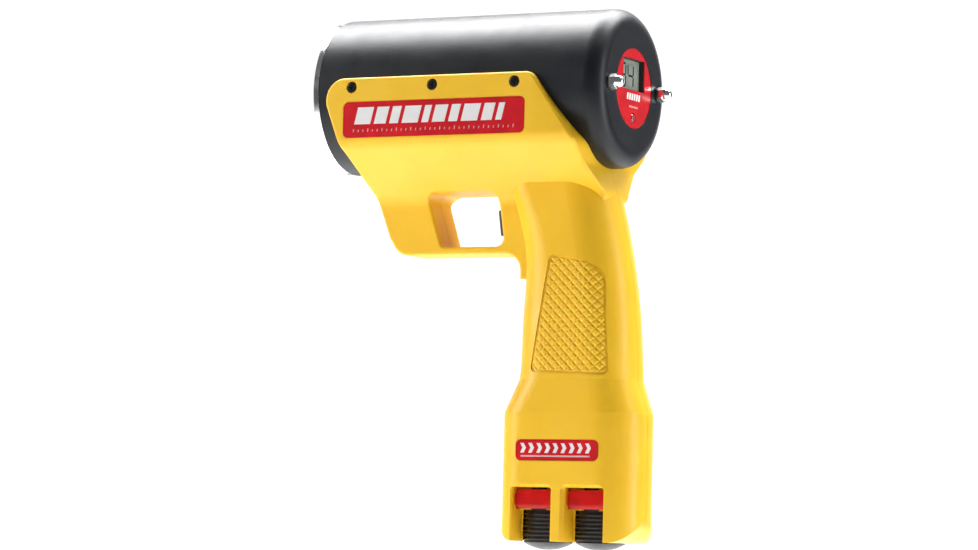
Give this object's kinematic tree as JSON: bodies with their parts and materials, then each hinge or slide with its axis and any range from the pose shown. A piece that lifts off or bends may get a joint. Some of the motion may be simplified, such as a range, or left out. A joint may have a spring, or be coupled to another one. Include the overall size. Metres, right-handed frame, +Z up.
{
  "type": "speed radar gun",
  "caption": "Hand-held speed radar gun: black tubular head with rear display in a yellow pistol-grip housing with trigger guard and stick batteries in the grip.",
  "frame": {"origin": "middle of the bounding box's footprint, level with the lowest point of the battery ends; Y = 0 is the plane where the housing halves meet", "axes": "-X is the aiming direction, +X the display end, +Y the gun's right side, +Z up"},
  "size_m": [0.18, 0.089, 0.2775],
  "materials": {
    "head_black": "black fine-textured satin paint",
    "bezel_metal": "polished turned aluminium",
    "lens_black": "microwave-clear black plastic",
    "seal_rubber": "matte",
    "horn_metal": "as cast and machined",
    "brass_can": "plated",
    "board_green": "solder-masked glass-fibre board",
    "chip_black": "moulded component cases",
    "steel": "zinc-plated",
    "washer_black": "matte nylon",
    "nut_chrome": "bright chrome",
    "frame_black": "moulded",
    "lcd_glass": "grey-green liquid-crystal panel with dark digits",
    "label_red": "glossy printed red label",
    "lamp_red": "clear red lamp lens",
    "housing_yellow": "deep warm yellow moulding, satin gloss",
    "screw_black": "black oxide",
    "trigger_black": "smooth moulded",
    "battery_sleeve": "shrink sleeve",
    "cap_black": "ribbed moulding",
    "latch_red": "glossy moulding"
  },
  "bodies": {
    "gun": {"head_shell": "head_black", "front_bezel": "bezel_metal", "lens": "lens_black", "lens_seal": "seal_rubber", "horn_antenna": "horn_metal", "waveguide_block": "horn_metal", "oscillator_and_mixer": "brass_can", "main_board": "board_green", "display_board": "board_green", "main_board_parts": "chip_black", "board_spacers": "steel", "chassis_studs": "steel", "stud_lock_nuts": "steel", "stud_washers": "washer_black", "left_dome_nut": "nut_chrome", "right_dome_nut": "nut_chrome", "display_frame": "frame_black", "display_glass": "lcd_glass", "fascia_label": "label_red", "power_lamp": "lamp_red", "left_housing": "housing_yellow", "right_housing": "housing_yellow", "left_side_badge": "label_red", "right_side_badge": "label_red", "left_base_badge": "label_red", "right_base_badge": "label_red", "left_flange_screws": "screw_black", "right_flange_screws": "screw_black", "housing_screws": "screw_black", "contact_bridge": "frame_black", "contact_plungers": "brass_can", "switch_bracket": "frame_black", "trigger_switch": "frame_black", "switch_plunger": "brass_can", "trigger_spring": "steel", "front_latch_springs": "steel", "rear_latch_springs": "steel"},
    "trigger": {"trigger": "trigger_black"},
    "front_battery": {"front_battery": "battery_sleeve", "front_battery_cap": "cap_black", "front_battery_poles": "brass_can"},
    "rear_battery": {"rear_battery": "battery_sleeve", "rear_battery_cap": "cap_black", "rear_battery_poles": "brass_can"},
    "front_latch": {"front_latch": "latch_red"},
    "rear_latch": {"rear_latch": "latch_red"}
  },
  "joints": [
    {"name": "trigger_press", "type": "slide", "parent": "gun", "child": "trigger", "axis": [1, 0, 0], "range_m": [0, 0.003], "stiffness_N_per_m": 1200, "springref_m": -0.002, "deforming": ["trigger_spring"]},
    {"name": "front_latch_press", "type": "slide", "parent": "gun", "child": "front_latch", "axis": [0, 1, 0], "range_m": [0, 0.002], "stiffness_N_per_m": 900, "springref_m": -0.001, "deforming": ["front_latch_springs"]},
    {"name": "rear_latch_press", "type": "slide", "parent": "gun", "child": "rear_latch", "axis": [0, 1, 0], "range_m": [0, 0.002], "stiffness_N_per_m": 900, "springref_m": -0.001, "deforming": ["rear_latch_springs"]},
    {"name": "front_battery_slide", "type": "slide", "parent": "gun", "child": "front_battery", "axis": [0, 0, -1], "range_m": [0, 0.15]},
    {"name": "rear_battery_slide", "type": "slide", "parent": "gun", "child": "rear_battery", "axis": [0, 0, -1], "range_m": [0, 0.15]}
  ]
}
